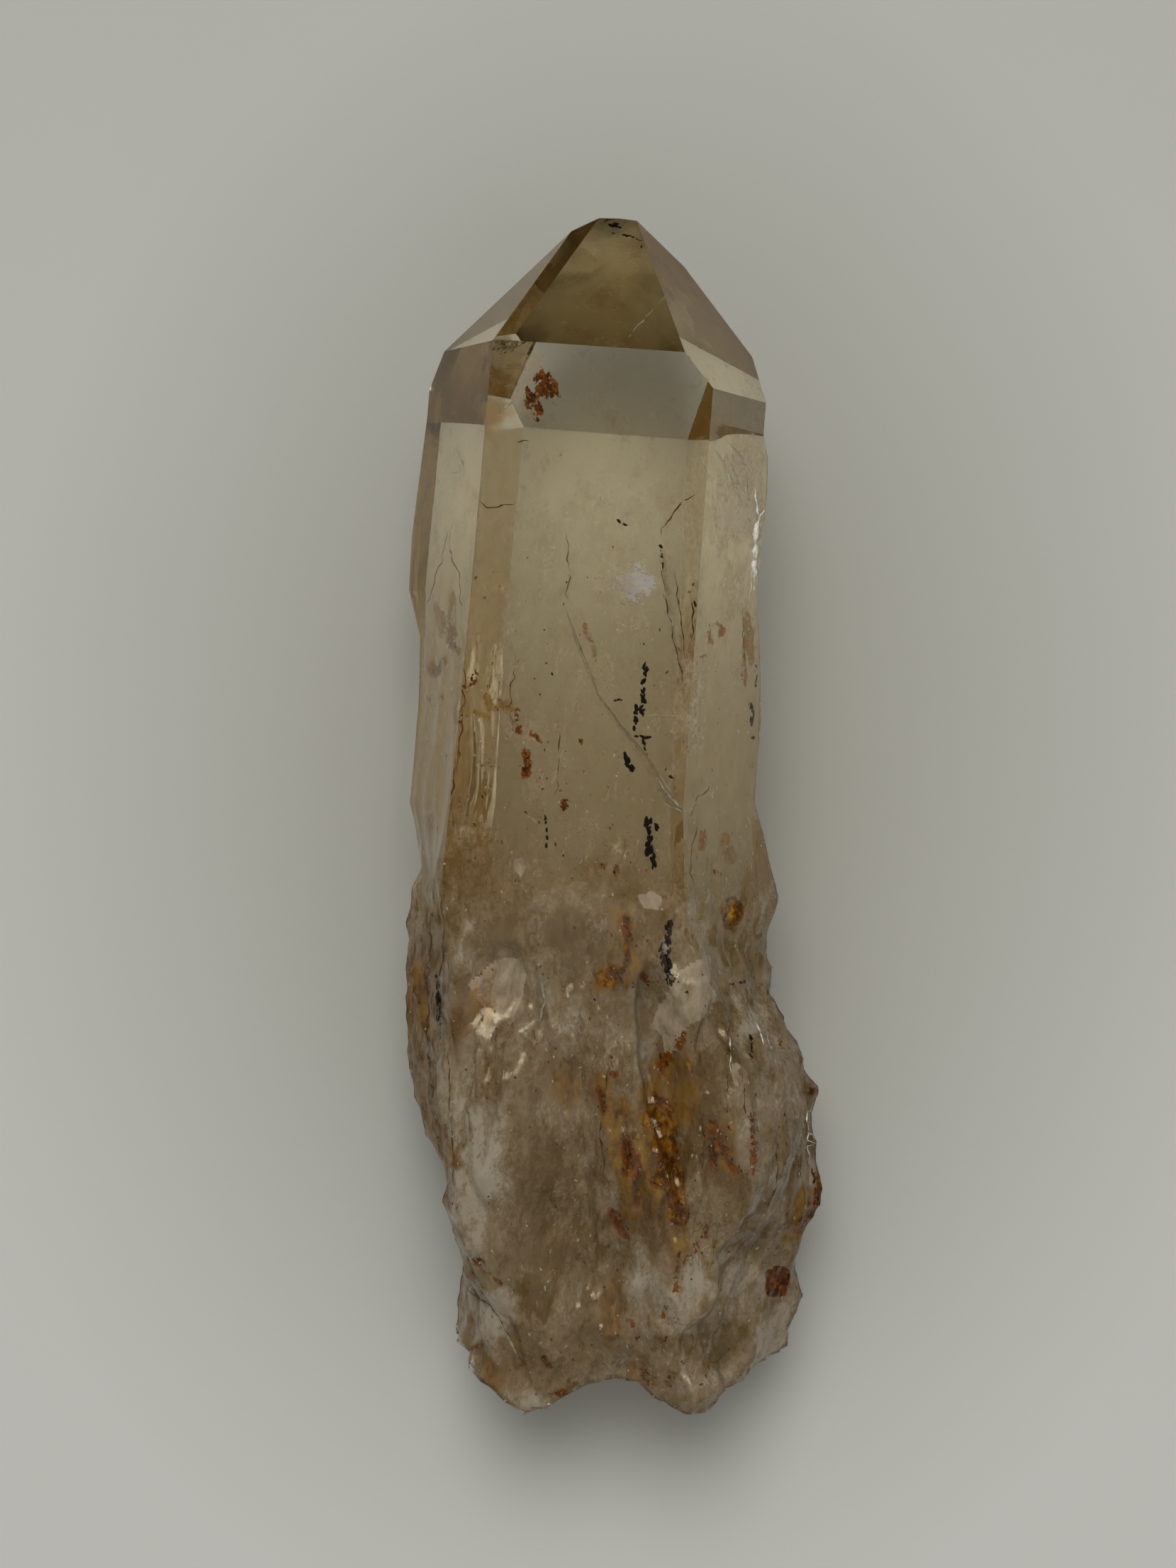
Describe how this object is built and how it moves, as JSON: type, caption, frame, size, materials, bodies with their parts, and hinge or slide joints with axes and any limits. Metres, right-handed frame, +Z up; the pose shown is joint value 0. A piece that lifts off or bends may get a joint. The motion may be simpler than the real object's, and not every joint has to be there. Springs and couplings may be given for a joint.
{
  "type": "citrine crystal point",
  "caption": "Smoky yellow quartz point lying on a prism face: clear six-sided tip half, milky iron-stained swollen root, broken base.",
  "frame": {"origin": "middle of the bounding box, on the surface the crystal lies on", "axes": "+Y along the growth axis towards the tip, +Z up from the face it rests on, +X across towards the swollen side of the root"},
  "size_m": [0.0348, 0.0892, 0.0214],
  "materials": {
    "citrine": "clear glossy faces, frosted and stained root"
  },
  "bodies": {
    "root": {"crystal": "citrine"}
  },
  "joints": []
}
